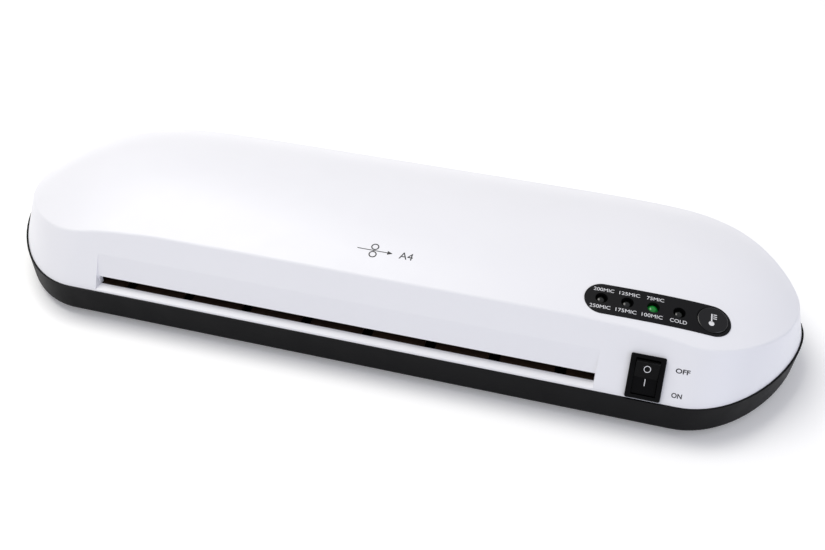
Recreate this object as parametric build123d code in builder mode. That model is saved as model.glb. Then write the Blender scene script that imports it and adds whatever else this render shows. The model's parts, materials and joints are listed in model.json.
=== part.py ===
"""Desktop pouch laminator for A4 pouches, with two driven roller pairs and a heated tunnel between them.

Units are millimetres. The origin is at the bottom centre of the object. +X is to the right of a person
who feeds a pouch in, the entry slot faces -Y, and +Z is up.
"""
from build123d import *
import os
from math import acos, atan2, cos, degrees, exp, log, pi, radians, sin, sqrt, tan

os.makedirs("parts", exist_ok=True)

# Outer form: a long body with blunt rounded ends
HALF_LENGTH = 200.0
HALF_DEPTH = 69.0
END_RX = 57.0
END_FLAT, END_TIP = 0.5235, 0.314
STRAIGHT = HALF_LENGTH - END_RX
RIM_PROUD = 1.0
WALL = 2.5

# Heights
FOOT_HEIGHT = 3.0
FLOOR_Z = 5.0
RIM_Z = 17.4
BASE_TAPER = 0.8
BASE_EDGE = 2.4
DOME_RISE = 32.4
DOME_REACH_X = 210.5
DOME_POWER_X = 7
DOME_FALL_Y = 0.503
DOME_POWER_Y = 1.8
FRONT_LEAN = 0.815
END_LEAN = 0.235
WALL_RISE = 44.0
CREASE_RADIUS = 1.6

# Entry and exit slots
SLOT_X0, SLOT_X1 = -129.6, 107.4
SLOT_HALF = 2.15
NIP_Z = RIM_Z + 2.9
RECESS_TOP = 13.8
RECESS_DRAFT_L, RECESS_DRAFT_R = 2.4, 0.4
PAD = 2.4
SLOT_Y = -62.5

# Control panel: a pill on the dome
PANEL_X, PANEL_Y = 129.0, -36.7
PANEL_TURN = 0.039
PANEL_HALF, PANEL_R = 32.0, 8.0
PANEL_SLOPE_X = -0.073
LAMP_XS = (-24.6, -13.3, -2.0, 9.3)
LAMP_R = 2.5
LAMP_HOLE_R = 2.75
LAMP_SUNK = 0.6
BUTTON_X, BUTTON_R = 23.7, 6.7
BOARD_DEPTH = 9.0

# Rocker switch, on the leaning front wall
SWITCH_X = 128.4
SWITCH_U = 9.9
BEZEL_W, BEZEL_L = 15.0, 19.2
SWITCH_W, SWITCH_L = 12.8, 17.8
SWITCH_DEPTH = 14.0
ROCKER_W = 10.0
ROCKER_R = 7.6
PIVOT_N = -1.0
ROCKER_TILT = 12.0

# Roller frame
PLATE = 1.5
PLATE_L, PLATE_R = -133.0, 111.0
ROLLER_SPACING = 40.0
ROLLER_Y = ROLLER_SPACING / 2
CENTRES = 14.0
SLEEVE_R = 6.85
SHAFT_R = 4.0
JOURNAL_R = 3.0
RUNNING = 0.04
LOWER_Z = NIP_Z - CENTRES / 2
UPPER_Z = NIP_Z + CENTRES / 2
PLATE_HALF_Y = 34.0
PLATE_TOP = 39.5
SLOT_WIDTH = 9.0
BLOCK_HEIGHT = 9.0
SPRING_TOP = 37.0

# Gears, module 1
MODULE = 1.0
PRESSURE = radians(25)
BACKLASH = 0.18
ADDENDUM, DEDENDUM = 0.9, 1.15
ROLLER_TEETH, IDLER_TEETH, PINION_TEETH = 14, 30, 10
IDLER_REACH = MODULE * (ROLLER_TEETH + IDLER_TEETH) / 2
IDLER_Z = LOWER_Z + sqrt(IDLER_REACH**2 - ROLLER_Y**2)
MOTOR_Y = MODULE * (IDLER_TEETH + PINION_TEETH) / 2
BRACKET_X = -155.0


def smooth_floor(value):
    """Follow value while it is well above 0, and stay just above 0 beyond that."""
    softness = 0.05
    return softness * log(1 + exp(value / softness))


def dome_z(x, y):
    """Height of the cover's crowned top."""
    fall = abs(x / DOME_REACH_X) ** DOME_POWER_X + DOME_FALL_Y * abs(y / HALF_DEPTH) ** DOME_POWER_Y
    return RIM_Z + DOME_RISE * smooth_floor(1 - fall)


def end_curve(side, rx, ry):
    """A quarter of a rounded end, from the long side at y = ry to the tip at x = side * (STRAIGHT + rx)."""
    tip = STRAIGHT + rx
    Bezier(
        (side * STRAIGHT, ry),
        (side * (STRAIGHT + END_FLAT * rx), ry),
        (side * tip, END_TIP * ry),
        (side * tip, 0),
    )


def outline(inset, front_inset=0.0, end_inset=0.0):
    """The body's outline as a face of the current sketch."""
    rx = END_RX - inset - end_inset
    back = HALF_DEPTH - inset
    front = back - front_inset
    with BuildLine() as around:
        Line((-STRAIGHT, -front), (STRAIGHT, -front))
        end_curve(1, rx, -front)
        end_curve(1, rx, back)
        Line((STRAIGHT, back), (-STRAIGHT, back))
        end_curve(-1, rx, back)
        end_curve(-1, rx, -front)
    make_face(around.edges())


def wall_block(inset):
    """The volume inside the cover's walls: the front leans back, the ends lean a little."""
    with BuildPart() as block:
        with BuildSketch(Plane.XY.offset(RIM_Z)):
            outline(inset)
        with BuildSketch(Plane.XY.offset(RIM_Z + WALL_RISE)):
            outline(inset, FRONT_LEAN * WALL_RISE, END_LEAN * WALL_RISE)
        loft(ruled=True)
    return block.part


def dome_block(drop):
    """The volume under the crowned top, lowered by drop."""
    reach = 202.0
    steps = 20
    with BuildPart() as block:
        for y in (-72, -54, -36, -18, 0, 18, 36, 54, 72):
            with BuildSketch(Plane.XZ.offset(-y)):
                with BuildLine():
                    xs = [reach * sin(pi / 2 * (2 * i / steps - 1)) for i in range(steps + 1)]
                    Spline(*[(x, dome_z(x, y) - drop) for x in xs])
                    floor = RIM_Z - 6
                    ends = dome_z(reach, y) - drop
                    Polyline((reach, ends), (reach, floor), (-reach, floor), (-reach, ends))
                make_face()
        loft()
    return block.part


def brick(x0, x1, y0, y1, z0, z1, mode=Mode.ADD):
    """A block between two corners."""
    with Locations(((x0 + x1) / 2, (y0 + y1) / 2, (z0 + z1) / 2)):
        Box(abs(x1 - x0), abs(y1 - y0), abs(z1 - z0), mode=mode)


def bar(x0, x1, y, z, radius, mode=Mode.ADD):
    """A round bar along X."""
    with BuildSketch(Plane.YZ.offset(x0)) as section:
        with Locations((y, z)):
            Circle(radius)
    extrude(section.sketch, amount=x1 - x0, mode=mode)


def post(x, y, z0, z1, radius, mode=Mode.ADD):
    """A round post along Z."""
    with BuildSketch(Plane.XY.offset(z0)) as section:
        with Locations((x, y)):
            Circle(radius)
    extrude(section.sketch, amount=z1 - z0, mode=mode)


def prism_x(x0, x1, points, mode=Mode.ADD):
    """A closed (y, z) polygon, extruded along X."""
    with BuildSketch(Plane.YZ.offset(x0)) as section:
        with BuildLine():
            Polyline(*points, close=True)
        make_face()
    extrude(section.sketch, amount=x1 - x0, mode=mode)


def finish(build, label):
    """Label a finished piece and write its STEP file."""
    build.part.label = label
    export_step(build.part, f"parts/{label}.step")


# Planes of the sloping surfaces
lean = atan2(FRONT_LEAN, 1)
COVER_FRONT = -(HALF_DEPTH - RIM_PROUD)
FRONT_WALL = Plane(
    origin=(SWITCH_X, COVER_FRONT, RIM_Z), x_dir=(1, 0, 0), z_dir=(0, -cos(lean), sin(lean))
)
panel_slope_y = (dome_z(PANEL_X, PANEL_Y + 1) - dome_z(PANEL_X, PANEL_Y - 1)) / 2
PANEL = Plane(
    origin=(PANEL_X, PANEL_Y, dome_z(PANEL_X, PANEL_Y)),
    x_dir=(1, PANEL_TURN, PANEL_SLOPE_X + PANEL_TURN * panel_slope_y),
    z_dir=(-PANEL_SLOPE_X, -panel_slope_y, 1),
)


def panel_pill(grow):
    """The pill outline of the control panel, as a face of the current sketch."""
    SlotCenterToCenter(2 * (PANEL_HALF - PANEL_R), 2 * (PANEL_R + grow))


COVER_BOSSES = [(x, y) for x in (-170.0, 170.0) for y in (-38.0, 40.0)]
BOSS_R = 4.2
SCREW_R = 1.4

# --- Casing -------------------------------------------------------------------------------------

dome_outer = dome_block(0.0)
dome_inner = dome_block(WALL)
wall_inner = wall_block(RIM_PROUD + WALL)

with BuildPart() as cover_inside:
    add(wall_inner)
    add(dome_inner, mode=Mode.INTERSECT)

with BuildPart() as cover_body:
    add(wall_block(RIM_PROUD))
    add(dome_outer, mode=Mode.INTERSECT)
    crease = [e for e in cover_body.edges() if e.center().Z > RIM_Z + 1 and e.length > 30]
    fillet(crease, CREASE_RADIUS)

# Pad behind the recess, which keeps the wall's thickness there
with BuildPart() as recess_pad:
    prism_x(
        SLOT_X0 - RECESS_DRAFT_L - PAD,
        SLOT_X1 + RECESS_DRAFT_R + PAD,
        [
            (SLOT_Y - 8, RIM_Z),
            (SLOT_Y + PAD, RIM_Z),
            (SLOT_Y + PAD, RIM_Z + 5),
            (COVER_FRONT + FRONT_LEAN * RECESS_TOP + 3.4, RIM_Z + RECESS_TOP),
            (COVER_FRONT + FRONT_LEAN * RECESS_TOP - 4, RIM_Z + RECESS_TOP),
        ],
    )
    add(cover_body.part, mode=Mode.INTERSECT)

# Recess above the entry slot, wider at its top, with its lip below
with BuildPart() as recess:
    prism_x(
        SLOT_X0 - 5,
        SLOT_X1 + 5,
        [
            (COVER_FRONT + FRONT_LEAN * RECESS_TOP, RIM_Z + RECESS_TOP),
            (SLOT_Y, NIP_Z + SLOT_HALF),
            (SLOT_Y, NIP_Z - SLOT_HALF),
            (COVER_FRONT - 4, NIP_Z - SLOT_HALF - 0.3),
            (COVER_FRONT - 4, RIM_Z + RECESS_TOP),
        ],
    )
    with BuildSketch(Plane.XZ.offset(-SLOT_Y - 40)) as draft:
        with BuildLine():
            Polyline(
                (SLOT_X0, RIM_Z),
                (SLOT_X1, RIM_Z),
                (SLOT_X1 + RECESS_DRAFT_R, RIM_Z + RECESS_TOP),
                (SLOT_X0 - RECESS_DRAFT_L, RIM_Z + RECESS_TOP),
                close=True,
            )
        make_face()
    extrude(draft.sketch, amount=80, mode=Mode.INTERSECT)

with BuildPart() as cover_bosses:
    for x, y in COVER_BOSSES:
        post(x, y, RIM_Z, RIM_Z + 34, BOSS_R)
    add(cover_body.part, mode=Mode.INTERSECT)
    for x, y in COVER_BOSSES:
        post(x, y, RIM_Z, RIM_Z + 10, SCREW_R, mode=Mode.SUBTRACT)

with BuildPart() as top_cover:
    add(cover_body.part)
    add(cover_inside.part, mode=Mode.SUBTRACT)
    add(recess_pad.part)
    add(cover_bosses.part)
    # A strip under each slot stiffens the thin lip
    for y0, y1, z0 in (
        (SLOT_Y - PAD, SLOT_Y + PAD, RIM_Z - PAD),
        (61.5, 65.5, RIM_Z - PAD),
        (65.0, 66.5, RIM_Z),
    ):
        brick(SLOT_X0 - PAD, SLOT_X1 + PAD, y0, y1, z0, RIM_Z + 0.7)
    add(recess.part, mode=Mode.SUBTRACT)
    # The entry lip ends where the guide's tongue begins
    brick(SLOT_X0, SLOT_X1, SLOT_Y, SLOT_Y + 6, RIM_Z - 4, NIP_Z, mode=Mode.SUBTRACT)
    # Entry slot and exit slot
    for y0, y1 in ((SLOT_Y - 2, SLOT_Y + 8), (-SLOT_Y - 8, HALF_DEPTH)):
        brick(SLOT_X0, SLOT_X1, y0, y1, NIP_Z - SLOT_HALF, NIP_Z + SLOT_HALF, mode=Mode.SUBTRACT)
    # Openings for the control panel and the switch
    with BuildSketch(PANEL.offset(-14)):
        panel_pill(0.12)
    extrude(amount=24, mode=Mode.SUBTRACT)
    with BuildSketch(FRONT_WALL.offset(-9)):
        with Locations((0, SWITCH_U)):
            Rectangle(SWITCH_W + 0.2, SWITCH_L + 0.2)
    extrude(amount=14, mode=Mode.SUBTRACT)
finish(top_cover, "top_cover")

FEET = [(x, y) for x in (-140.0, 140.0) for y in (-44.0, 44.0)]
FOOT_R = 7.0
FOOT_SEAT = 0.8
FRAME_TABS = [(x, y) for x in (PLATE_L + 6, PLATE_R - 6) for y in (-30.5, 30.5)]
TAB_Z = 8.0
POWER_BOARD = (119.0, 160.0, -20.0, 34.0)
POWER_POSTS = [(x, y) for x in (122.5, 156.5) for y in (-16.5, 30.5)]
GLAND_X, GLAND_Z, GLAND_R = 118.0, 10.4, 3.2
GLAND_SIDE = 9.6
GLAND_INNER, GLAND_FACE = 63.0, HALF_DEPTH - 0.3

with BuildPart() as tray_hollow:
    with BuildSketch(Plane.XY.offset(FLOOR_Z)):
        outline(BASE_TAPER + WALL)
    with BuildSketch(Plane.XY.offset(RIM_Z + 0.5)):
        outline(WALL)
    loft(ruled=True)

with BuildPart() as base_tray:
    with BuildSketch(Plane.XY.offset(FOOT_HEIGHT)):
        outline(BASE_TAPER)
    with BuildSketch(Plane.XY.offset(RIM_Z)):
        outline(0)
    loft(ruled=True)
    fillet(base_tray.faces().sort_by(Axis.Z)[0].edges(), BASE_EDGE)
    add(tray_hollow.part, mode=Mode.SUBTRACT)
    for x, y in COVER_BOSSES:
        post(x, y, FLOOR_Z - 1, RIM_Z, BOSS_R + 0.4)
    for x, y in FRAME_TABS:
        post(x, y, FLOOR_Z - 1, TAB_Z, 3.6)
    for x, y in POWER_POSTS:
        post(x, y, FLOOR_Z - 1, TAB_Z, 3.0)
    for x, y in COVER_BOSSES:
        post(x, y, FOOT_HEIGHT, RIM_Z, SCREW_R + 0.3, mode=Mode.SUBTRACT)
        post(x, y, FOOT_HEIGHT, FOOT_HEIGHT + 4, 3.2, mode=Mode.SUBTRACT)
    for x, y in FRAME_TABS + POWER_POSTS:
        post(x, y, FLOOR_Z - 0.6, TAB_Z, SCREW_R, mode=Mode.SUBTRACT)
    for x, y in FEET:
        post(x, y, FOOT_HEIGHT, FOOT_HEIGHT + FOOT_SEAT, FOOT_R, mode=Mode.SUBTRACT)
    # Square seat of the cord gland, in the rear wall
    half = GLAND_SIDE / 2
    brick(
        GLAND_X - half, GLAND_X + half, 60, 72, GLAND_Z - half, GLAND_Z + half, mode=Mode.SUBTRACT
    )
    brick(
        GLAND_X - 6.1, GLAND_X + 6.1, GLAND_FACE - 0.9, 72, GLAND_Z - 6.1, GLAND_Z + 6.1,
        mode=Mode.SUBTRACT,
    )
    # Room for the switch behind the front wall
    with BuildSketch(FRONT_WALL.offset(-1.2)):
        with Locations((0, SWITCH_U)):
            Rectangle(SWITCH_W + 0.6, SWITCH_L + 0.6)
    extrude(amount=-SWITCH_DEPTH, mode=Mode.SUBTRACT)
    # Air slots under the heated tunnel
    with BuildSketch(Plane.XY.offset(FOOT_HEIGHT)):
        with GridLocations(16, 0, 11, 1):
            SlotOverall(26, 3, rotation=90)
    extrude(amount=3, mode=Mode.SUBTRACT)
finish(base_tray, "base_tray")

with BuildPart() as rubber_feet:
    for x, y in FEET:
        post(x, y, 0, FOOT_HEIGHT + FOOT_SEAT, FOOT_R)
    fillet(rubber_feet.faces().group_by(Axis.Z)[0].edges(), 0.8)
finish(rubber_feet, "rubber_feet")


def screw_down(x, y, head_z, length, head_r=2.8, head_h=2.0):
    """A pan-head screw: the head sits on head_z and the shank goes down."""
    post(x, y, head_z, head_z + head_h, head_r)
    post(x, y, head_z - length, head_z, SCREW_R)


with BuildPart() as housing_screws:
    for x, y in COVER_BOSSES:
        post(x, y, FOOT_HEIGHT + 1.6, FOOT_HEIGHT + 4, 2.9)
        post(x, y, FOOT_HEIGHT + 4, RIM_Z + 9, SCREW_R)
        with Locations((x, y, FOOT_HEIGHT + 2)):
            Box(3.4, 0.7, 1, mode=Mode.SUBTRACT)
            Box(0.7, 3.4, 1, mode=Mode.SUBTRACT)
finish(housing_screws, "housing_screws")

with BuildPart() as cord_gland:
    half = GLAND_SIDE / 2
    brick(
        GLAND_X - half, GLAND_X + half, GLAND_INNER, GLAND_FACE - 0.9, GLAND_Z - half, GLAND_Z + half
    )
    brick(GLAND_X - 6, GLAND_X + 6, GLAND_FACE - 0.9, GLAND_FACE, GLAND_Z - 6, GLAND_Z + 6)
    with BuildSketch(Plane.XZ.offset(-GLAND_INNER)):
        with Locations((GLAND_X, GLAND_Z)):
            Circle(GLAND_R)
    extrude(amount=GLAND_INNER - GLAND_FACE, mode=Mode.SUBTRACT)
finish(cord_gland, "cord_gland")

# --- Controls -----------------------------------------------------------------------------------

PANEL_PROUD = 0.35
PANEL_DEPTH = 2.6
BOARD_POSTS = [(-18.5, -5.2), (-18.5, 5.2), (15.0, -5.4), (15.0, 5.4)]

# Flange of the panel, which sits behind the cover
under_cover = dome_block(PANEL_DEPTH)
with BuildPart() as panel_flange:
    with BuildSketch(PANEL.offset(-12)):
        panel_pill(1.4)
    extrude(amount=24)
    add(under_cover, mode=Mode.INTERSECT)
    add(dome_block(PANEL_DEPTH + 1), mode=Mode.SUBTRACT)

with BuildPart() as control_panel:
    with BuildSketch(PANEL.offset(-12)):
        panel_pill(0)
    extrude(amount=24)
    add(dome_block(-PANEL_PROUD), mode=Mode.INTERSECT)
    add(under_cover, mode=Mode.SUBTRACT)
    add(panel_flange.part)
    with BuildSketch(PANEL.offset(-BOARD_DEPTH)):
        with Locations(*BOARD_POSTS):
            Circle(1.7)
    extrude(amount=BOARD_DEPTH - 1.5)
    with BuildSketch(PANEL.offset(-10)):
        with Locations(*[(x, 0) for x in LAMP_XS]):
            Circle(LAMP_HOLE_R)
        with Locations((BUTTON_X, 0)):
            Circle(BUTTON_R + 0.2)
    extrude(amount=20, mode=Mode.SUBTRACT)
finish(control_panel, "control_panel")

# The dome drops away from the panel's plane towards its ends
button_foot = PANEL.from_local_coords((BUTTON_X, 0, 0))
BUTTON_SURFACE = (dome_z(button_foot.X, button_foot.Y) - button_foot.Z) * PANEL.z_dir.Z

with BuildPart() as temperature_button:
    with BuildSketch(PANEL.offset(BUTTON_SURFACE - 2.6)):
        with Locations((BUTTON_X, 0)):
            Circle(BUTTON_R)
    extrude(amount=3.5)
    fillet(temperature_button.faces().sort_by(Axis.Z)[-1].edges(), 0.7)
    with BuildSketch(PANEL.offset(-5.5)):
        with Locations((BUTTON_X, 0)):
            Circle(1.6)
    extrude(amount=4)
finish(temperature_button, "temperature_button")

LAMP_NAMES = ("indicator_thick", "indicator_medium", "indicator_thin", "indicator_cold")
for lamp_x, lamp_name in zip(LAMP_XS, LAMP_NAMES):
    foot = PANEL.from_local_coords((lamp_x, 0, 0))
    tip = (dome_z(foot.X, foot.Y) - foot.Z) * PANEL.z_dir.Z - LAMP_SUNK
    with BuildPart() as lamp:
        with BuildSketch(PANEL.offset(-BOARD_DEPTH)):
            with Locations((lamp_x, 0)):
                Circle(LAMP_R)
        extrude(amount=tip + BOARD_DEPTH)
        fillet(lamp.faces().sort_by(Axis.Z)[-1].edges(), LAMP_R - 0.4)
        with BuildSketch(PANEL.offset(-BOARD_DEPTH)):
            with Locations((lamp_x, 0)):
                Circle(LAMP_R + 0.45)
        extrude(amount=1)
    finish(lamp, lamp_name)

BOARD = 1.6
with BuildPart() as control_board:
    with BuildSketch(PANEL.offset(-BOARD_DEPTH - BOARD)):
        RectangleRounded(58, 15, 1.5)
        with Locations(*BOARD_POSTS[1:3]):
            Circle(0.9, mode=Mode.SUBTRACT)
    extrude(amount=BOARD)
finish(control_board, "control_board")

with BuildPart() as control_board_parts:
    with BuildSketch(PANEL.offset(-BOARD_DEPTH)):
        with Locations((2.8, 4.9)):
            Rectangle(7, 3.2)
        with Locations((-24, 5.2), (-8, -5.2), (3, -5.2)):
            Rectangle(3.2, 1.8)
    extrude(amount=1.4)
finish(control_board_parts, "control_board_parts")

with BuildPart() as tact_switch:
    with BuildSketch(PANEL.offset(-BOARD_DEPTH)):
        with Locations((BUTTON_X, 0)):
            Rectangle(6, 6)
    extrude(amount=1.7)
    with BuildSketch(PANEL.offset(-BOARD_DEPTH)):
        with Locations((BUTTON_X, 0)):
            Circle(1.5)
    extrude(amount=2.3)
finish(tact_switch, "tact_switch")

with BuildPart() as control_board_screws:
    for x, y in BOARD_POSTS[1:3]:
        with BuildSketch(PANEL.offset(-BOARD_DEPTH - BOARD)):
            with Locations((x, y)):
                Circle(1.7)
        extrude(amount=-1.2)
        with BuildSketch(PANEL.offset(-BOARD_DEPTH - BOARD)):
            with Locations((x, y)):
                Circle(0.9)
        extrude(amount=BOARD)
finish(control_board_screws, "control_board_screws")

PIVOT_R = 1.2
WINDOW_L = 2 * ROCKER_R + 0.6
with BuildPart() as switch_housing:
    with BuildSketch(FRONT_WALL):
        with Locations((0, SWITCH_U)):
            RectangleRounded(BEZEL_W, BEZEL_L, 0.8)
    extrude(amount=1.5)
    fillet(switch_housing.faces().sort_by(Axis(FRONT_WALL.origin, FRONT_WALL.z_dir))[-1].edges(), 0.5)
    with BuildSketch(FRONT_WALL):
        with Locations((0, SWITCH_U)):
            Rectangle(SWITCH_W, SWITCH_L)
    extrude(amount=-SWITCH_DEPTH)
    with BuildSketch(FRONT_WALL.offset(-8)):
        with Locations((0, SWITCH_U)):
            Rectangle(ROCKER_W + 0.4, WINDOW_L)
    extrude(amount=14, mode=Mode.SUBTRACT)
    pivot = FRONT_WALL.from_local_coords((0, SWITCH_U, PIVOT_N))
    bar(SWITCH_X - 6, SWITCH_X + 6, pivot.Y, pivot.Z, PIVOT_R + RUNNING, mode=Mode.SUBTRACT)
finish(switch_housing, "switch_housing")

rocker_plane = Plane(
    origin=FRONT_WALL.from_local_coords((-ROCKER_W / 2, SWITCH_U, PIVOT_N)),
    x_dir=FRONT_WALL.y_dir.rotate(Axis.X, ROCKER_TILT),
    z_dir=(1, 0, 0),
)
with BuildPart() as switch_rocker:
    with BuildSketch(rocker_plane):
        Circle(ROCKER_R)
        with BuildLine():
            rise = ROCKER_R * tan(radians(14))
            Polyline(
                (-ROCKER_R, 1.4 + rise),
                (0, 1.4),
                (ROCKER_R, 1.4 + rise),
                (ROCKER_R, -4.2),
                (-ROCKER_R, -4.2),
                close=True,
            )
        make_face(mode=Mode.INTERSECT)
    extrude(amount=ROCKER_W)
    bar(SWITCH_X - 5.9, SWITCH_X + 5.9, pivot.Y, pivot.Z, PIVOT_R)
finish(switch_rocker, "switch_rocker")

with BuildPart() as switch_terminals:
    with BuildSketch(FRONT_WALL.offset(-SWITCH_DEPTH)):
        with Locations((0, SWITCH_U - 4), (0, SWITCH_U + 4)):
            Rectangle(4.8, 0.8)
    extrude(amount=-6)
finish(switch_terminals, "switch_terminals")

x0, x1, y0, y1 = POWER_BOARD
POWER_TOP = TAB_Z + BOARD
with BuildPart() as power_board:
    brick(x0, x1, y0, y1, TAB_Z, POWER_TOP)
    for x, y in POWER_POSTS:
        post(x, y, TAB_Z, POWER_TOP, SCREW_R, mode=Mode.SUBTRACT)
finish(power_board, "power_board")

with BuildPart() as transformer:
    brick(126, 150, -13, 7, POWER_TOP, POWER_TOP + 11)
    brick(130, 146, -15, 9, POWER_TOP, POWER_TOP + 14)
finish(transformer, "transformer")

with BuildPart() as power_board_parts:
    brick(132, 151, 12, 22, POWER_TOP, POWER_TOP + 12)
    post(128, 20, POWER_TOP, POWER_TOP + 14, 3.5)
    brick(134, 150, 25, 29, POWER_TOP, POWER_TOP + 7)
finish(power_board_parts, "power_board_parts")

with BuildPart() as power_board_screws:
    for x, y in POWER_POSTS:
        screw_down(x, y, POWER_TOP, 4.5)
finish(power_board_screws, "power_board_screws")

# --- Roller frame -------------------------------------------------------------------------------

TIE_RODS = [(-30.5, 29.5), (30.5, 29.5), (0.0, 9.2)]
ROD_R = 2.5
IDLER_PIN_R = 2.0
BUSH_R = 4.5
BLOCK_FLOOR = UPPER_Z - BLOCK_HEIGHT / 2


def side_plate(x0, tab_side):
    """One side plate: bush holes, slots for the sliding blocks, rod holes and two foot tabs."""
    x1 = x0 + PLATE
    shoulder = 8.0
    outline_yz = [(-PLATE_HALF_Y, TAB_Z), (-PLATE_HALF_Y, PLATE_TOP - shoulder)]
    outline_yz += [(shoulder - PLATE_HALF_Y, PLATE_TOP), (PLATE_HALF_Y - shoulder, PLATE_TOP)]
    outline_yz += [(PLATE_HALF_Y, PLATE_TOP - shoulder), (PLATE_HALF_Y, TAB_Z)]
    prism_x(x0, x1, outline_yz)
    brick(x0, x1, -26, 26, FLOOR_Z + 0.4, TAB_Z)
    for y in (-ROLLER_Y, ROLLER_Y):
        bar(x0, x1, y, LOWER_Z, BUSH_R, mode=Mode.SUBTRACT)
        half_width = SLOT_WIDTH / 2
        brick(
            x0, x1, y - half_width, y + half_width, BLOCK_FLOOR - 0.05, SPRING_TOP, mode=Mode.SUBTRACT
        )
        # Peg that centres the spring
        brick(x0, x1, y - 0.8, y + 0.8, SPRING_TOP - 1.4, SPRING_TOP)
    for y, z in TIE_RODS:
        bar(x0, x1, y, z, SCREW_R, mode=Mode.SUBTRACT)
    for y in (-30.5, 30.5):
        near = x0 if tab_side < 0 else x1
        brick(near, near + tab_side * 10, y - 3.5, y + 3.5, TAB_Z, TAB_Z + 1.2)
        screw_x = PLATE_L + 6 if tab_side > 0 else PLATE_R - 6
        post(screw_x, y, TAB_Z, TAB_Z + 1.2, SCREW_R, mode=Mode.SUBTRACT)


with BuildPart() as left_side_plate:
    side_plate(PLATE_L - PLATE, 1)
    bar(PLATE_L - PLATE, PLATE_L, 0, IDLER_Z, IDLER_PIN_R, mode=Mode.SUBTRACT)
finish(left_side_plate, "left_side_plate")

with BuildPart() as right_side_plate:
    side_plate(PLATE_R, -1)
    # Corner cut away under the control board
    brick(PLATE_R - 3, PLATE_R + 3, -PLATE_HALF_Y - 1, -27.2, 34, PLATE_TOP + 1, mode=Mode.SUBTRACT)
finish(right_side_plate, "right_side_plate")

with BuildPart() as frame_tie_rods:
    for y, z in TIE_RODS:
        bar(PLATE_L, PLATE_R, y, z, ROD_R)
        for x in (PLATE_L, PLATE_R - 6):
            bar(x, x + 6, y, z, SCREW_R, mode=Mode.SUBTRACT)
finish(frame_tie_rods, "frame_tie_rods")

with BuildPart() as tie_rod_screws:
    for y, z in TIE_RODS:
        bar(PLATE_L - PLATE, PLATE_L + 5, y, z, SCREW_R)
        bar(PLATE_L - PLATE - 1.6, PLATE_L - PLATE, y, z, 2.6)
        bar(PLATE_R - 5, PLATE_R + PLATE, y, z, SCREW_R)
        bar(PLATE_R + PLATE, PLATE_R + PLATE + 1.6, y, z, 2.6)
finish(tie_rod_screws, "tie_rod_screws")

with BuildPart() as frame_screws:
    for x, y in FRAME_TABS:
        screw_down(x, y, TAB_Z + 1.2, 4.2, head_h=1.6)
finish(frame_screws, "frame_screws")

NOTCHES = 8
NOTCH_PITCH = (SLOT_X1 - SLOT_X0) / NOTCHES


def pouch_guide(side):
    """A flat funnel from a slot to the rollers: two sheets joined by end cheeks."""
    mouth, throat = side * 58.5, side * 28.6
    lower = [
        (mouth, NIP_Z - 2.4),
        (throat, NIP_Z - 1.3),
        (throat, NIP_Z - 2.9),
        (mouth, NIP_Z - 4.0),
    ]
    upper = [
        (mouth, NIP_Z + 2.4),
        (throat, NIP_Z + 1.3),
        (throat, NIP_Z + 2.9),
        (mouth, NIP_Z + 4.0),
    ]
    for points in (lower, upper):
        prism_x(PLATE_L, PLATE_R, points)
    for x0, x1 in ((PLATE_L, SLOT_X0), (SLOT_X1, PLATE_R)):
        prism_x(x0, x1, [lower[3], lower[2], upper[2], upper[3]])


with BuildPart() as entry_guide:
    pouch_guide(-1)
    # Tongue in the entry slot
    brick(SLOT_X0 + 0.3, SLOT_X1 - 0.3, SLOT_Y + 0.3, -58, NIP_Z - 4.0, NIP_Z - 2.4)
    for i in range(NOTCHES):
        x = SLOT_X0 + (i + 0.5) * NOTCH_PITCH
        brick(x - 2.5, x + 2.5, SLOT_Y - 1, -56, NIP_Z - 5, NIP_Z + 5, mode=Mode.SUBTRACT)
finish(entry_guide, "entry_guide")

with BuildPart() as exit_guide:
    pouch_guide(1)
finish(exit_guide, "exit_guide")

# --- Rollers ------------------------------------------------------------------------------------

GEAR_INNER = -136.4
UPPER_GEAR_OUTER = -140.0
LOWER_GEAR_OUTER = -146.0
IDLER_X = (-152.0, -141.0)
PINION_X = (-152.0, -147.0)
SLEEVE_X = (-130.0, 107.5)
SHAFT_END = PLATE_R + PLATE + 3


def roller_shaft(y, z, gear_end):
    """Steel shaft: thick between the plates, thinner journals beyond."""
    bar(gear_end, SHAFT_END, y, z, JOURNAL_R)
    bar(PLATE_L + 2.8, PLATE_R - 2.8, y, z, SHAFT_R)


def roller_sleeve(y, z):
    """Silicone sleeve, moulded on the shaft."""
    bar(*SLEEVE_X, y, z, SLEEVE_R)
    bar(*SLEEVE_X, y, z, SHAFT_R, mode=Mode.SUBTRACT)


def involute(angle):
    return tan(angle) - angle


def gear_face(y, z, teeth, phase):
    """Involute spur gear, as a face of the current sketch, with a tooth at the angle phase."""
    pitch_r = MODULE * teeth / 2
    base_r = pitch_r * cos(PRESSURE)
    tip_r, root_r = pitch_r + ADDENDUM, pitch_r - DEDENDUM
    half_pitch = (pi * MODULE / 2 - BACKLASH) / (2 * pitch_r)
    start_r = max(base_r, root_r)
    flank = []
    for i in range(5):
        r = start_r + (tip_r - start_r) * i / 4
        half_angle = half_pitch + involute(PRESSURE) - involute(acos(min(1.0, base_r / r)))
        flank.append((r * cos(half_angle), r * sin(half_angle)))
    mirrored = [(px, -py) for px, py in flank]
    foot = (root_r - 0.4, flank[0][1])
    with BuildSketch(mode=Mode.PRIVATE) as tooth:
        with BuildLine():
            Line((foot[0], -foot[1]), mirrored[0])
            Spline(*mirrored)
            ThreePointArc(mirrored[-1], (tip_r, 0), flank[-1])
            Spline(*reversed(flank))
            Polyline(flank[0], foot, (foot[0], -foot[1]))
        make_face()
    with Locations((y, z)):
        Circle(root_r)
        with PolarLocations(0, teeth, start_angle=phase):
            add(tooth.sketch)


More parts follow.
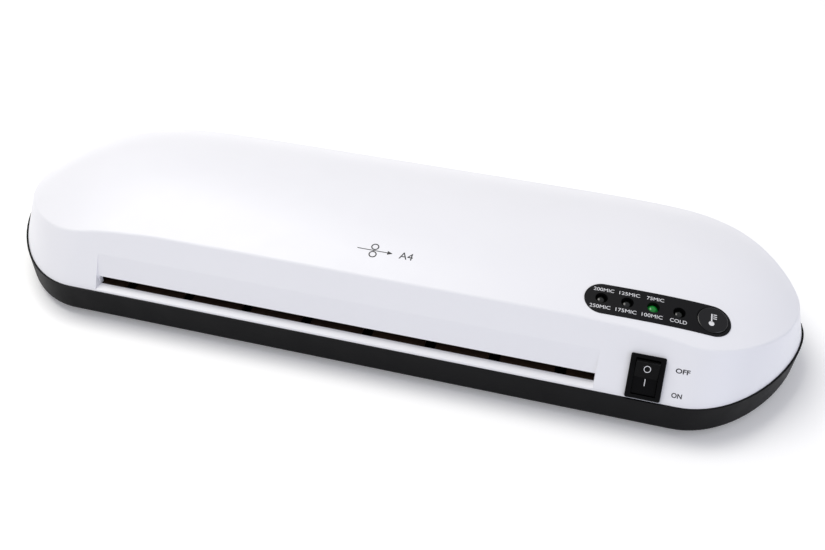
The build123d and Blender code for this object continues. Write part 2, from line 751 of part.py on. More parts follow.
def gear(x_span, y, z, teeth, phase, bore):
    """A spur gear along X with a round bore."""
    with BuildSketch(Plane.YZ.offset(x_span[0])) as section:
        gear_face(y, z, teeth, phase)
    extrude(section.sketch, amount=x_span[1] - x_span[0])
    bar(*x_span, y, z, bore, mode=Mode.SUBTRACT)


def mate_phase(phase, teeth, line, mate_teeth):
    """Phase of a gear that meshes, across the line of centres at the angle line, with this one."""
    return line + 180 - (phase - line) * teeth / mate_teeth + 180 / mate_teeth


climb = degrees(atan2(IDLER_Z - LOWER_Z, ROLLER_Y))
front_lower_phase = climb
idler_phase = mate_phase(front_lower_phase, ROLLER_TEETH, climb, IDLER_TEETH)
rear_lower_phase = mate_phase(idler_phase, IDLER_TEETH, -climb, ROLLER_TEETH)
pinion_phase = mate_phase(idler_phase, IDLER_TEETH, 0, PINION_TEETH)
phases = {"front": front_lower_phase, "rear": rear_lower_phase}

for name, y in (("front", -ROLLER_Y), ("rear", ROLLER_Y)):
    upper_phase = mate_phase(phases[name], ROLLER_TEETH, 90, ROLLER_TEETH)
    for level, z, gear_end, phase in (
        ("lower", LOWER_Z, LOWER_GEAR_OUTER, phases[name]),
        ("upper", UPPER_Z, UPPER_GEAR_OUTER, upper_phase),
    ):
        with BuildPart() as shaft:
            roller_shaft(y, z, gear_end - 0.5)
        finish(shaft, f"{level}_{name}_shaft")
        with BuildPart() as sleeve:
            roller_sleeve(y, z)
        finish(sleeve, f"{level}_{name}_sleeve")
        with BuildPart() as roller_gear:
            gear((gear_end, GEAR_INNER), y, z, ROLLER_TEETH, phase, JOURNAL_R)
        finish(roller_gear, f"{level}_{name}_gear")

    with BuildPart() as blocks:
        for x in (PLATE_L - PLATE / 2, PLATE_R + PLATE / 2):
            with Locations((x, y, UPPER_Z)):
                Box(4.4, 12.4, BLOCK_HEIGHT)
            for side in (-1, 1):
                with Locations((x, y + side * (SLOT_WIDTH / 2 + 0.95), UPPER_Z)):
                    Box(PLATE + 0.12, 2, BLOCK_HEIGHT, mode=Mode.SUBTRACT)
            bar(x - 3, x + 3, y, UPPER_Z, JOURNAL_R + RUNNING, mode=Mode.SUBTRACT)
    finish(blocks, f"upper_{name}_bearing_blocks")

    with BuildPart() as springs:
        coil_r, wire_r, turns = 1.75, 0.35, 3.5
        block_top = UPPER_Z + BLOCK_HEIGHT / 2
        height = SPRING_TOP - block_top - 2 * wire_r - 0.1
        for x in (PLATE_L - PLATE / 2, PLATE_R + PLATE / 2):
            base = (x, y, block_top + wire_r + 0.05)
            with BuildLine(Plane(origin=base)):
                Helix(pitch=height / turns, height=height, radius=coil_r)
            with BuildSketch(Plane(origin=(x + coil_r, y, base[2]), z_dir=(0, 1, 0))):
                Circle(wire_r)
            sweep(is_frenet=True)
    finish(springs, f"{name}_pressure_springs")

with BuildPart() as lower_bushes:
    for y in (-ROLLER_Y, ROLLER_Y):
        for x0, x1, flange_x in (
            (PLATE_L - PLATE, PLATE_L, PLATE_L),
            (PLATE_R, PLATE_R + PLATE, PLATE_R - 1.2),
        ):
            bar(x0, x1, y, LOWER_Z, BUSH_R)
            bar(flange_x, flange_x + 1.2, y, LOWER_Z, BUSH_R + 1.3)
        bar(PLATE_L - 4, PLATE_R + 4, y, LOWER_Z, JOURNAL_R + RUNNING, mode=Mode.SUBTRACT)
finish(lower_bushes, "lower_bushes")

# --- Drive --------------------------------------------------------------------------------------

with BuildPart() as idler_gear:
    gear(IDLER_X, 0, IDLER_Z, IDLER_TEETH, idler_phase, IDLER_PIN_R + RUNNING)
finish(idler_gear, "idler_gear")

with BuildPart() as idler_pin:
    bar(BRACKET_X - PLATE, PLATE_L, 0, IDLER_Z, IDLER_PIN_R)
finish(idler_pin, "idler_pin")

MOTOR_SHAFT_R = 1.5
with BuildPart() as motor_pinion:
    gear(PINION_X, MOTOR_Y, IDLER_Z, PINION_TEETH, pinion_phase, MOTOR_SHAFT_R)
finish(motor_pinion, "motor_pinion")

BRACKET_FACE = BRACKET_X - PLATE
with BuildPart() as motor_shaft:
    bar(BRACKET_FACE - 2, PINION_X[1], MOTOR_Y, IDLER_Z, MOTOR_SHAFT_R)
finish(motor_shaft, "motor_shaft")

MOTOR_R = 14.5
EAR = 18.5 / sqrt(2)
MOTOR_EARS = [(MOTOR_Y + EAR, IDLER_Z - EAR), (MOTOR_Y - EAR, IDLER_Z + EAR)]
with BuildPart() as motor_can:
    bar(BRACKET_FACE - 17, BRACKET_FACE, MOTOR_Y, IDLER_Z, MOTOR_R)
    fillet(motor_can.faces().sort_by(Axis.X)[0].edges(), 1.5)
    with BuildSketch(Plane.YZ.offset(BRACKET_FACE - 1.2)):
        with Locations((MOTOR_Y, IDLER_Z)):
            SlotCenterToCenter(37, 7, rotation=135)
    extrude(amount=1.2)
    for y, z in MOTOR_EARS:
        bar(BRACKET_FACE - 2, BRACKET_FACE, y, z, SCREW_R, mode=Mode.SUBTRACT)
    bar(
        BRACKET_FACE - 2, BRACKET_FACE, MOTOR_Y, IDLER_Z, MOTOR_SHAFT_R + RUNNING, mode=Mode.SUBTRACT
    )
finish(motor_can, "motor_can")

with BuildPart() as motor_bracket:
    brick(BRACKET_FACE, BRACKET_X, -34.5, 36.5, 6.2, 39)
    for y0, y1 in ((-34.5, -33.0), (35.0, 36.5)):
        brick(BRACKET_X, PLATE_L - PLATE, y0, y1, 12, 25)
    for y0, y1 in ((-33.0, -29.5), (31.5, 35.0)):
        brick(PLATE_L - PLATE - 1.2, PLATE_L - PLATE, y0, y1, 12, 25)
    bar(BRACKET_FACE, BRACKET_X, 0, IDLER_Z, IDLER_PIN_R, mode=Mode.SUBTRACT)
    bar(BRACKET_FACE, BRACKET_X, MOTOR_Y, IDLER_Z, 3.5, mode=Mode.SUBTRACT)
    for y, z in MOTOR_EARS:
        bar(BRACKET_FACE, BRACKET_X, y, z, SCREW_R, mode=Mode.SUBTRACT)
finish(motor_bracket, "motor_bracket")

with BuildPart() as motor_screws:
    for y, z in MOTOR_EARS:
        bar(BRACKET_FACE - 1.2, BRACKET_X, y, z, SCREW_R)
        bar(BRACKET_X, BRACKET_X + 1.6, y, z, 2.5)
finish(motor_screws, "motor_screws")

# --- Heated tunnel ------------------------------------------------------------------------------

PLATE_HALF_WIDTH = 11.5
TUNNEL_HALF = 1.1
HEATER_X = (-120.0, 98.0)
for level, side in (("lower", -1), ("upper", 1)):
    near = NIP_Z + side * TUNNEL_HALF
    far = near + side * 1.5
    with BuildPart() as heating_plate:
        brick(PLATE_L, PLATE_R, -PLATE_HALF_WIDTH, PLATE_HALF_WIDTH, near, far)
    finish(heating_plate, f"{level}_heating_plate")
    with BuildPart() as heater_strip:
        brick(*HEATER_X, -8, 8, far, far + side * 1.1)
    finish(heater_strip, f"{level}_heater_strip")

STRIP_TOP = NIP_Z + TUNNEL_HALF + 1.5 + 1.1
with BuildPart() as thermal_fuse:
    bar(-40, -26, 0, STRIP_TOP + 2, 2)
finish(thermal_fuse, "thermal_fuse")

with BuildPart() as thermistor:
    bar(30, 36, 0, STRIP_TOP + 1.5, 1.5)
finish(thermistor, "thermistor")
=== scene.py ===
"""The looks of a pouch laminator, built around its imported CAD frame.

Materials, printed marks, light and camera. Lengths are in metres unless a name says mm. Places come from the
frame. What is printed on a face is drawn flat in millimetres and then laid onto that face.
"""

import json
import math

import bmesh
import bpy
from mathutils import Matrix, Vector
from mathutils.bvhtree import BVHTree

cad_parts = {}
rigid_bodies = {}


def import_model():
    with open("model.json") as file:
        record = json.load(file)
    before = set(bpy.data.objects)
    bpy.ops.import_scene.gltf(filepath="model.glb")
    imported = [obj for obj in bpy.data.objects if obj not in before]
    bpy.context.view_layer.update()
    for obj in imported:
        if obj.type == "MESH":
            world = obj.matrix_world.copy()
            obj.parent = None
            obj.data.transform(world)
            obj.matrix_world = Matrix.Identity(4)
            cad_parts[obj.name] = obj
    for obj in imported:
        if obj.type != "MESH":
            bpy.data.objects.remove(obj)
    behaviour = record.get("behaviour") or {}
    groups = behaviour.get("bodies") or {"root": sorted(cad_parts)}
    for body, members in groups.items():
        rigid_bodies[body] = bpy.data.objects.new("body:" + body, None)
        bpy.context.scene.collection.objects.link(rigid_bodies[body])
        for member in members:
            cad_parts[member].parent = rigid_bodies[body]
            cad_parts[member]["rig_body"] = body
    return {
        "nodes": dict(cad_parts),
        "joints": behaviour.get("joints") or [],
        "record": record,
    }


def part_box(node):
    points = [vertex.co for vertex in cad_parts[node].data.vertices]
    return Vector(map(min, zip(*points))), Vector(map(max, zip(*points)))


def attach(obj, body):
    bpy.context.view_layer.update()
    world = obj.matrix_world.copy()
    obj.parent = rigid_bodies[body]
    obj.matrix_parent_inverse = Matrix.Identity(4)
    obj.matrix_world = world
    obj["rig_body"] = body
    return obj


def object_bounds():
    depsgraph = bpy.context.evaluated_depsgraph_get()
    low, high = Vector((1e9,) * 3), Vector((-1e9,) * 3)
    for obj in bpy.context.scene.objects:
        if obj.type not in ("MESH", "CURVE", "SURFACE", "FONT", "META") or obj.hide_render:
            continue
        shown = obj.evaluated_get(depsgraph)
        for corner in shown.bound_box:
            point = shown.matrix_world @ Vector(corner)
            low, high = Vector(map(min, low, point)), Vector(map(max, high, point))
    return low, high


MM = 0.001

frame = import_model()
cad_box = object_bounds()
nodes = frame["nodes"]
joints = {joint["name"]: joint for joint in frame["joints"]}


# ---------------------------------------------------------------- camera


SENSOR_MM = 36


def look_from(azimuth, elevation, roll, distance, target, lens):
    """The camera stands at azimuth degrees right of the front and elevation degrees up.

    roll is in degrees too, distance is from target, and lens is the focal length in mm.
    """
    a, e, r = (math.radians(angle) for angle in (azimuth, elevation, roll))
    back = Vector((math.sin(a) * math.cos(e), -math.cos(a) * math.cos(e), math.sin(e)))
    level = Vector((math.cos(a), math.sin(a), 0))
    upright = back.cross(level)
    right = level * math.cos(r) + upright * math.sin(r)
    up = upright * math.cos(r) - level * math.sin(r)
    data = bpy.data.cameras.new("camera")
    data.lens = lens
    data.sensor_width = SENSOR_MM
    camera = bpy.data.objects.new("camera", data)
    turn = Matrix((right, up, back)).transposed().to_4x4()
    camera.matrix_world = Matrix.Translation(target + back * distance) @ turn
    bpy.context.scene.collection.objects.link(camera)
    bpy.context.scene.camera = camera


look_from(
    azimuth=13.1,
    elevation=37.6,
    roll=2.36,
    distance=0.458,
    target=Vector((0.0126, -0.0117, 0.0174)),
    lens=40.15,
)


# ---------------------------------------------------------------- floor and light


def soft_box(name, place, size, power, colour):
    """A square area light, size metres across, which faces the origin. Its power is in watts."""
    data = bpy.data.lights.new(name, "AREA")
    data.size = size
    data.energy = power
    data.color = colour
    light = bpy.data.objects.new(name, data)
    light.location = place
    light.rotation_euler = (-Vector(place)).to_track_quat("-Z", "Y").to_euler()
    bpy.context.scene.collection.objects.link(light)


def studio():
    """A pale floor in an even, slightly blue surround, under two lights.

    The large one is at the upper left and the weak one is low at the right.
    """
    world = bpy.data.worlds.new("studio")
    world.use_nodes = True
    surround = world.node_tree.nodes["Background"]
    surround.inputs["Color"].default_value = (0.925, 0.93, 1.0, 1)
    surround.inputs["Strength"].default_value = 0.52
    bpy.context.scene.world = world
    bpy.context.scene.view_settings.view_transform = "Standard"

    soft_box("key", place=(-0.55, 0.25, 1.2), size=0.9, power=11.6, colour=(1, 0.985, 0.93))
    soft_box("fill", place=(1.1, -0.7, 0.35), size=0.7, power=3.0, colour=(0.8, 0.85, 1))

    half = 2.5
    corners = [(-half, -half, 0), (half, -half, 0), (half, half, 0), (-half, half, 0)]
    mesh = bpy.data.meshes.new("floor")
    mesh.from_pydata(corners, [], [(0, 1, 2, 3)])
    floor = bpy.data.objects.new("floor", mesh)
    bpy.context.scene.collection.objects.link(floor)
    paper = bpy.data.materials.new("floor_paper")
    paper.use_nodes = True
    shader = paper.node_tree.nodes["Principled BSDF"]
    shader.inputs["Base Color"].default_value = (0.97, 0.97, 0.97, 1)
    shader.inputs["Roughness"].default_value = 0.9
    shader.inputs["Specular IOR Level"].default_value = 0.1
    shader.inputs["Emission Color"].default_value = (1, 1, 1, 1)
    shader.inputs["Emission Strength"].default_value = 0.15
    floor.data.materials.append(paper)


studio()


# ---------------------------------------------------------------- materials


class Surface:
    """A material under construction: a Principled shader, and the textures that vary its inputs."""

    def __init__(self, name, **fixed):
        self.material = bpy.data.materials.new(name)
        self.material.use_nodes = True
        self.tree = self.material.node_tree
        self.shader = self.tree.nodes["Principled BSDF"]
        self.place = self.add("ShaderNodeTexCoord").outputs["Object"]
        for socket, value in fixed.items():
            self.shader.inputs[socket.replace("_", " ")].default_value = value

    def add(self, kind, **inputs):
        """A node with its inputs set or, where the value is another node's output, linked."""
        node = self.tree.nodes.new(kind)
        for socket, value in inputs.items():
            target = node.inputs[socket.replace("_", " ")]
            if isinstance(value, bpy.types.NodeSocket):
                self.tree.links.new(value, target)
            else:
                target.default_value = value
        return node

    def link(self, value, socket):
        """Feed a node's output to one of the shader's sockets."""
        self.tree.links.new(value, self.shader.inputs[socket])
        return self

    def scaled_place(self, size, stretch):
        """The place in units of size metres, times stretch along each axis."""
        scale = [1 / (size * factor) for factor in stretch]
        return self.add("ShaderNodeMapping", Vector=self.place, Scale=scale).outputs["Vector"]

    def noise(self, size, detail=3.0, stretch=(1, 1, 1)):
        """Grey noise whose blotches are about size metres across, times stretch along each axis."""
        place = self.scaled_place(size, stretch)
        return self.add("ShaderNodeTexNoise", Vector=place, Scale=1.0, Detail=detail).outputs["Fac"]

    def cells(self, size, stretch=(1, 1, 1)):
        """A random grey for each cell, about size metres across, times stretch along each axis."""
        place = self.scaled_place(size, stretch)
        node = self.add("ShaderNodeTexVoronoi", Vector=place, Scale=1.0)
        return self.add("ShaderNodeSeparateColor", Color=node.outputs["Color"]).outputs["Red"]

    def ranged(self, value, low, high, start=0.3, end=0.7):
        """The range of value from start to end, spread from low to high."""
        node = self.add("ShaderNodeMapRange", Value=value)
        for socket, number in (("From Min", start), ("From Max", end), ("To Min", low), ("To Max", high)):
            node.inputs[socket].default_value = number
        return node.outputs["Result"]

    def ramp(self, value, *stops):
        """Colours along value, each stop a (position, colour)."""
        node = self.add("ShaderNodeValToRGB", Fac=value)
        while len(node.color_ramp.elements) < len(stops):
            node.color_ramp.elements.new(0.5)
        for element, (position, colour) in zip(node.color_ramp.elements, stops):
            element.position = position
            element.color = (*colour, 1)
        return node.outputs["Color"]

    def colour(self, value, dark, light, start=0.3, end=0.7):
        return self.link(self.ramp(value, (start, dark), (end, light)), "Base Color")

    def rough(self, value, low, high):
        return self.link(self.ranged(value, low, high), "Roughness")

    def relief(self, *layers):
        """Bump, one layer after another, each (height, depth in metres)."""
        normal = None
        for height, depth in layers:
            node = self.add("ShaderNodeBump", Height=height, Distance=depth)
            if normal is not None:
                self.tree.links.new(normal, node.inputs["Normal"])
            normal = node.outputs["Normal"]
        return self.link(normal, "Normal")


def tint(colour, factor):
    return tuple(channel * factor for channel in colour)


def plastic(name, colour, roughness, grain=0.0006, depth=0.00001, variation=0.03, **fixed):
    """Moulded plastic: faint flow blotches, uneven gloss, and a bump with its size and depth in metres."""
    s = Surface(name, **fixed)
    flow = s.noise(0.05, 4)
    s.colour(flow, tint(colour, 1 - variation), tint(colour, 1 + variation))
    s.rough(s.noise(0.012, 5), roughness * 0.9, roughness * 1.12)
    return s.relief((s.noise(grain, 2), depth), (s.noise(0.006, 2), depth * 0.6))


def white_shell():
    """The cover: glossy, with a bump too shallow to sparkle."""
    return plastic(
        "white_shell",
        colour=(0.872, 0.872, 0.905),
        roughness=0.34,
        grain=0.003,
        depth=1.5e-6,
        variation=0.006,
        Specular_IOR_Level=0.35,
    )


def black_base():
    """The base tray: a matt texture."""
    return plastic(
        "black_base",
        colour=(0.005, 0.005, 0.0056),
        roughness=0.5,
        grain=0.0005,
        depth=20e-6,
        variation=0.12,
        Specular_IOR_Level=0.1,
    )


def black_panel():
    """The control panel: a fine satin."""
    return plastic(
        "black_panel",
        colour=(0.006, 0.006, 0.0066),
        roughness=0.34,
        grain=0.0004,
        depth=10e-6,
        variation=0.1,
        Specular_IOR_Level=0.17,
    )


def black_button():
    """The round button: smoother than the panel around it."""
    return plastic(
        "black_button",
        colour=(0.006, 0.006, 0.0066),
        roughness=0.2,
        grain=0.0012,
        depth=6e-6,
        variation=0.1,
        Specular_IOR_Level=0.4,
    )


def switch_black():
    """The rocker and its housing: the darkest plastic."""
    return plastic(
        "switch_black",
        colour=(0.0035, 0.0035, 0.0038),
        roughness=0.28,
        grain=0.0009,
        depth=6e-6,
        variation=0.1,
        Specular_IOR_Level=0.08,
    )


LENS_R = 2.6 * MM
LAMP_GLOW = 6.0
GLOWING_CORE = (0.75, 1.0, 0.7)


def lamp(name, centre, core, rim, glow):
    """A lens over a light-emitting diode. Its colour and glow fall off from the centre."""
    s = Surface(name, Roughness=0.18, Specular_IOR_Level=0.6)
    away = s.add("ShaderNodeVectorMath")
    away.operation = "DISTANCE"
    s.tree.links.new(s.place, away.inputs[0])
    away.inputs[1].default_value = centre
    radius = s.ranged(away.outputs["Value"], 0, 1, 0, LENS_R)
    s.link(s.ramp(radius, (0.1, core), (0.9, rim)), "Base Color")
    if glow:
        s.link(s.ramp(radius, (0.1, GLOWING_CORE), (0.35, core), (1.0, rim)), "Emission Color")
        s.link(s.ranged(radius, glow, glow * 0.06, 0.1, 0.6), "Emission Strength")
    return s.relief((s.noise(0.0009, 1), 0.00004))


def rubber(name, colour, roughness):
    """Rubber or silicone: matt, with a fine ground surface and blotches a little paler and darker than its
    colour.
    """
    s = Surface(name, Specular_IOR_Level=0.3)
    s.colour(s.noise(0.004, 6), tint(colour, 0.85), tint(colour, 1.2))
    s.rough(s.noise(0.008), roughness * 0.9, roughness)
    return s.relief((s.noise(0.00035, 3), 0.00003))


def turned_steel(name, colour, stretch=(14, 1, 1)):
    """Ground or drawn steel, its fine lines along one axis."""
    s = Surface(name, Metallic=1.0)
    lines = s.noise(0.0004, 3, stretch)
    s.colour(lines, tint(colour, 0.86), tint(colour, 1.06))
    s.rough(s.noise(0.003, 4, stretch), 0.2, 0.36)
    return s.relief((lines, 0.000005))


def zinc_plate():
    """Bright zinc: spangles of slightly different grey, and a rolled grain under them."""
    s = Surface("zinc_plate", Metallic=1.0)
    spangle = s.cells(0.004)
    s.colour(spangle, (0.5, 0.52, 0.53), (0.66, 0.67, 0.66), 0, 1)
    s.link(s.ranged(spangle, 0.28, 0.44, 0, 1), "Roughness")
    return s.relief((s.noise(0.0006, 2, (1, 6, 1)), 0.000006))


def aluminium():
    """Extruded plate, its lines along the rollers."""
    return turned_steel("aluminium", (0.8, 0.8, 0.81), (20, 1, 1))


def bronze():
    """Sintered bronze, with pores."""
    s = Surface("bronze", Metallic=1.0)
    pores = s.noise(0.0003, 4)
    s.colour(pores, (0.3, 0.17, 0.07), (0.6, 0.4, 0.2))
    s.rough(pores, 0.5, 0.34)
    return s.relief((pores, 0.00002))


def board_green():
    """Solder mask: green with darker and lighter tracks in runs along the board."""
    s = Surface("board_green", Specular_IOR_Level=0.45)
    tracks = s.cells(0.0016, (6, 1, 1))
    s.colour(tracks, (0.008, 0.075, 0.028), (0.016, 0.13, 0.05), 0.35, 0.6)
    s.rough(s.noise(0.004), 0.25, 0.36)
    return s.relief((tracks, 0.00003))


def core_steel():
    """Laminations: thin sheets stacked along the depth."""
    s = Surface("core_steel", Metallic=0.8)
    sheets = s.noise(0.00035, 1, (60, 1, 60))
    s.colour(sheets, (0.09, 0.085, 0.08), (0.24, 0.23, 0.22))
    s.rough(s.noise(0.004), 0.4, 0.6)
    return s.relief((sheets, 0.00005))


def heater_film():
    """Amber film over a wandering resistance foil."""
    s = Surface("heater_film", Coat_Weight=0.6)
    foil = s.cells(0.003, (8, 1, 1))
    s.colour(foil, (0.33, 0.13, 0.02), (0.5, 0.27, 0.07), 0.4, 0.6)
    s.rough(s.noise(0.005), 0.22, 0.34)
    return s.relief((foil, 0.00004))


def gear_nylon():
    """Natural nylon, which lets a little light in."""
    return plastic(
        "gear_nylon",
        colour=(0.74, 0.7, 0.58),
        roughness=0.42,
        grain=0.0008,
        depth=10e-6,
        variation=0.04,
        Subsurface_Weight=0.1,
    )


def guide_brown():
    """The entry and exit guides: a dark heat-proof resin."""
    return plastic(
        "guide_brown", (0.03, 0.017, 0.011), roughness=0.4, grain=0.0007, depth=10e-6, variation=0.15
    )


def component_dark():
    """The bodies of components on the boards."""
    return plastic(
        "component_dark", (0.02, 0.02, 0.023), roughness=0.4, grain=0.0004, depth=20e-6, variation=0.2
    )


def gland_black():
    """The cord gland: a matt black, a little paler than the base."""
    return plastic(
        "gland_black", (0.009, 0.009, 0.01), roughness=0.5, grain=0.0004, depth=20e-6, variation=0.15
    )


def centre_of(node):
    """The centre of a CAD node's box."""
    low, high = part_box(node)
    return (low + high) / 2


# Each lens: its colour at the centre and at the rim
DARK_LENS = ((0.02, 0.024, 0.021), (0.004, 0.005, 0.004))
GREEN_LENS = ((0.05, 0.75, 0.1), (0.004, 0.16, 0.02))

surfaces = {
    "white_shell": white_shell(),
    "black_base": black_base(),
    "black_panel": black_panel(),
    "black_button": black_button(),
    "switch_black": switch_black(),
    "foot_rubber": rubber("foot_rubber", (0.03, 0.03, 0.032), 0.85),
    "silicone": rubber("silicone", (0.42, 0.085, 0.04), 0.6),
    "steel": turned_steel("steel", (0.62, 0.62, 0.63)),
    "motor_steel": turned_steel("motor_steel", (0.55, 0.55, 0.56), (1, 1, 10)),
    "zinc_plate": zinc_plate(),
    "aluminium": aluminium(),
    "bronze": bronze(),
    "gear_nylon": gear_nylon(),
    "guide_brown": guide_brown(),
    "board_green": board_green(),
    "component_dark": component_dark(),
    "core_steel": core_steel(),
    "heater_film": heater_film(),
    "gland_black": gland_black(),
}


def dress():
    """Each CAD node takes the material of its slot in the record, and each lamp its own."""
    for part in frame["record"]["subparts"]:
        node, slot = part["node"], part["material_slot"]
        if node.startswith("indicator"):
            lit = slot == "lamp_green"
            core, rim = GREEN_LENS if lit else DARK_LENS
            material = lamp("lens_" + node, centre_of(node), core, rim, LAMP_GLOW if lit else 0).material
        else:
            material = surfaces[slot].material
        for place in nodes[node].material_slots:
            place.material = material


dress()


# ---------------------------------------------------------------- printed marks

INK_DEPTH_MM = 0.03
INK_PROUD_MM = 0.018
WELD = 1e-5
CAST_HEIGHT = 12 * MM


def ink(name, colour, roughness=0.45):
    """Screen-printed ink: nearly flat, with a slightly uneven edge to its gloss."""
    s = Surface(name, Specular_IOR_Level=0.3)
    s.colour(s.noise(0.0008, 3), tint(colour, 0.93), tint(colour, 1.0))
    s.rough(s.noise(0.0012), roughness * 0.85, roughness)
    return s.relief((s.noise(0.0003, 1), 0.000008)).material


inks = {
    "white": ink("white_ink", (0.8, 0.8, 0.82)),
    "dark": ink("dark_ink", (0.012, 0.012, 0.014)),
}


def mesh_of(data):
    """The closed mesh of a filled curve or a text, which is then removed."""
    holder = bpy.data.objects.new("holder", data)
    bpy.context.scene.collection.objects.link(holder)
    bpy.context.view_layer.update()
    graph = bpy.context.evaluated_depsgraph_get()
    mesh = bpy.data.meshes.new_from_object(holder.evaluated_get(graph))
    bpy.data.objects.remove(holder)
    bpy.data.curves.remove(data)
    work = bmesh.new()
    work.from_mesh(mesh)
    bmesh.ops.remove_doubles(work, verts=work.verts, dist=WELD)
    work.to_mesh(mesh)
    work.free()
    return mesh


def lettering(text, width, height, swell=0.0):
    """Text stretched to a width and height in mm, centred, its strokes thickened by swell."""
    data = bpy.data.curves.new("lettering", "FONT")
    data.body = text
    data.extrude = 1
    data.offset = swell
    data.resolution_u = 5
    mesh = mesh_of(data)
    for axis, size in ((0, width), (1, height), (2, 2 * INK_DEPTH_MM)):
        values = [v.co[axis] for v in mesh.vertices]
        low, high = min(values), max(values)
        for v in mesh.vertices:
            v.co[axis] = ((v.co[axis] - low) / (high - low) - 0.5) * size
    return mesh


def drawing(*loops):
    """A flat drawing in mm: each loop is a closed outline, and one inside another is a hole."""
    data = bpy.data.curves.new("drawing", "CURVE")
    data.dimensions = "2D"
    data.fill_mode = "BOTH"
    data.extrude = INK_DEPTH_MM
    for loop in loops:
        spline = data.splines.new("POLY")
        spline.points.add(len(loop) - 1)
        for point, (x, y) in zip(spline.points, loop):
            point.co = (x, y, 0, 1)
        spline.use_cyclic_u = True
    return mesh_of(data)


def circle(x, y, radius, count=40):
    """The loop of a circle about (x, y)."""
    steps = [2 * math.pi * i / count for i in range(count)]
    return [(x + radius * math.cos(t), y + radius * math.sin(t)) for t in steps]


def bar(x0, y0, x1, y1):
    """The loop of a rectangle between two corners."""
    return [(x0, y0), (x1, y0), (x1, y1), (x0, y1)]


trees = {}


def face_of(node):
    """A tree of a CAD node's triangles, to cast rays at."""
    if node not in trees:
        mesh = nodes[node].data
        corners = [v.co.copy() for v in mesh.vertices]
        trees[node] = BVHTree.FromPolygons(corners, [tuple(p.vertices) for p in mesh.polygons])
    return trees[node]


def printed(name, mesh, origin, axes, node, colour):
    """The flat mesh laid on a CAD node's face, where the axes, right and up, point along that face."""
    right, up = axes
    out = right.cross(up)
    tree = face_of(node)
    for v in mesh.vertices:
        above = origin + (right * v.co.x + up * v.co.y) * MM + out * CAST_HEIGHT
        hit, _, _, _ = tree.ray_cast(above, -out)
        v.co = hit + out * (v.co.z + INK_PROUD_MM) * MM
    mesh.materials.clear()
    mesh.materials.append(inks[colour])
    piece = bpy.data.objects.new(name, mesh)
    bpy.context.scene.collection.objects.link(piece)
    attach(piece, nodes[node]["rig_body"])


LABELS = {
    "thick": ("200MIC", "250MIC"),
    "medium": ("125MIC", "175MIC"),
    "thin": ("75MIC", "100MIC"),
    "cold": (None, "COLD"),
}
LABEL_HEIGHT_MM = 1.85
LETTER_WIDTH_MM = 1.5
COLD_WIDTH_MM = 7.3
ABOVE_LAMP_MM, BELOW_LAMP_MM = 4.3, 5.2
ABOVE_SHIFT_MM = 0.8


def panel_axes():
    """The panel's right and up, from the button's axis and the row of lamps."""
    out = -Vector(joints["button_press"]["axis"])
    along = centre_of("indicator_cold") - centre_of("indicator_thick")
    up = out.cross(along).normalized()
    return up.cross(out), up


def lamp_labels():
    """The pouch thickness above and below each lamp, and COLD below the last."""
    right, up = axes = panel_axes()
    lines = {
        "above": up * ABOVE_LAMP_MM + right * ABOVE_SHIFT_MM,
        "below": -up * BELOW_LAMP_MM,
    }
    for lamp_name, texts in LABELS.items():
        centre = centre_of("indicator_" + lamp_name)
        for text, (line, offset) in zip(texts, lines.items()):
            if text:
                width = COLD_WIDTH_MM if text == "COLD" else LETTER_WIDTH_MM * len(text)
                label = lettering(text, width, LABEL_HEIGHT_MM)
                place = centre + offset * MM
                printed(f"label_{lamp_name}_{line}", label, place, axes, "control_panel", "white")


TICK_COUNT = 3
TICK_FIRST_MM, TICK_PITCH_MM, TICK_HALF_MM = 0.6, 1.05, 0.2


def thermometer():
    """A thermometer on the button: a bulb, a stem and a scale of ticks."""
    shapes = {
        "bulb": drawing(circle(-0.5, -2.2, 1.2)),
        "stem": drawing(bar(-0.78, -1.6, -0.22, 3.0)),
    }
    for i in range(TICK_COUNT):
        y = TICK_FIRST_MM + TICK_PITCH_MM * i
        shapes[f"tick_{i + 1}"] = drawing(bar(0.15, y - TICK_HALF_MM, 1.7, y + TICK_HALF_MM))
    button = centre_of("temperature_button")
    for shape_name, shape in shapes.items():
        printed("thermometer_" + shape_name, shape, button, panel_axes(), "temperature_button", "white")


# The switch stands on the cover's front wall, which leans back by this much for each unit of height
FRONT_LEAN = 0.815
MARK_RISE_MM = {"off": 3.5, "on": -2.3}
RING_R_MM, RING_HOLE_MM = 1.5, 1.2
STROKE_HALF_WIDTH_MM, STROKE_HALF_MM = 0.16, 1.5
SIDE_LABELS = (("OFF", 6.1, 5.3), ("ON", 4.4, -5.3))
SIDE_LABEL_LEFT_MM = 11.8
SIDE_LABEL_HEIGHT_MM = 2.1
SIDE_LABEL_SWELL = 0.02


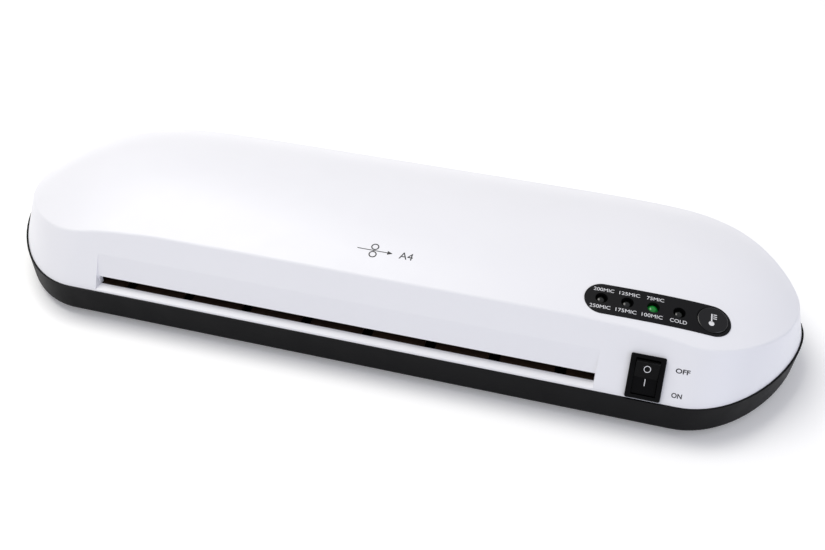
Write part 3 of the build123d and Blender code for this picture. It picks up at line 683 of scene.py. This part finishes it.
def switch_marks():
    """O and I on the rocker, with OFF and ON beside it on the cover."""
    lean = math.atan(FRONT_LEAN)
    right = Vector((1, 0, 0))
    up = Vector((0, math.sin(lean), math.cos(lean)))
    axes = right, up
    centre = centre_of("switch_housing")
    shapes = {
        "off": drawing(circle(0, 0, RING_R_MM), circle(0, 0, RING_HOLE_MM)),
        "on": drawing(bar(-STROKE_HALF_WIDTH_MM, -STROKE_HALF_MM, STROKE_HALF_WIDTH_MM, STROKE_HALF_MM)),
    }
    for side, shape in shapes.items():
        place = centre + up * MARK_RISE_MM[side] * MM
        printed("switch_mark_" + side, shape, place, axes, "switch_rocker", "white")
    for text, width, rise in SIDE_LABELS:
        label = lettering(text, width, SIDE_LABEL_HEIGHT_MM, SIDE_LABEL_SWELL)
        place = centre + (right * (SIDE_LABEL_LEFT_MM + width / 2) + up * rise) * MM
        printed("label_" + text.lower(), label, place, axes, "top_cover", "dark")


MARK_X, MARK_Y = 4 * MM, -35.2 * MM
ROLLER_MARK_X, ROLLER_MARK_Y = -5, 2.3
ROLLER_MARK_R, ROLLER_MARK_HOLE = 1.9, 1.35
SHEET_ARROW = [(-13, -0.2), (1.5, -0.2), (1.5, -1.1), (4, 0), (1.5, 1.1), (1.5, 0.2), (-13, 0.2)]
SIZE_LABEL_X, SIZE_LABEL_WIDTH, SIZE_LABEL_HEIGHT = 10.5, 6.4, 4.0


def cover_mark():
    """A plain pictogram of a sheet between two rollers, and the sheet size beside it, drawn in mm."""
    place = Vector((MARK_X, MARK_Y, cad_box[1][2]))
    above = place + Vector((0, 0, CAST_HEIGHT))
    _, normal, _, _ = face_of("top_cover").ray_cast(above, Vector((0, 0, -1)))
    right = Vector((normal.z, 0, -normal.x)).normalized()
    axes = right, normal.cross(right)
    for name, y in (("upper", ROLLER_MARK_Y), ("lower", -ROLLER_MARK_Y)):
        ring = drawing(
            circle(ROLLER_MARK_X, y, ROLLER_MARK_R), circle(ROLLER_MARK_X, y, ROLLER_MARK_HOLE)
        )
        printed(f"pictogram_{name}_roller", ring, place, axes, "top_cover", "dark")
    printed("pictogram_sheet", drawing(SHEET_ARROW), place, axes, "top_cover", "dark")
    size = lettering("A4", SIZE_LABEL_WIDTH, SIZE_LABEL_HEIGHT)
    beside = place + right * SIZE_LABEL_X * MM
    printed("label_sheet_size", size, beside, axes, "top_cover", "dark")


lamp_labels()
thermometer()
switch_marks()
cover_mark()
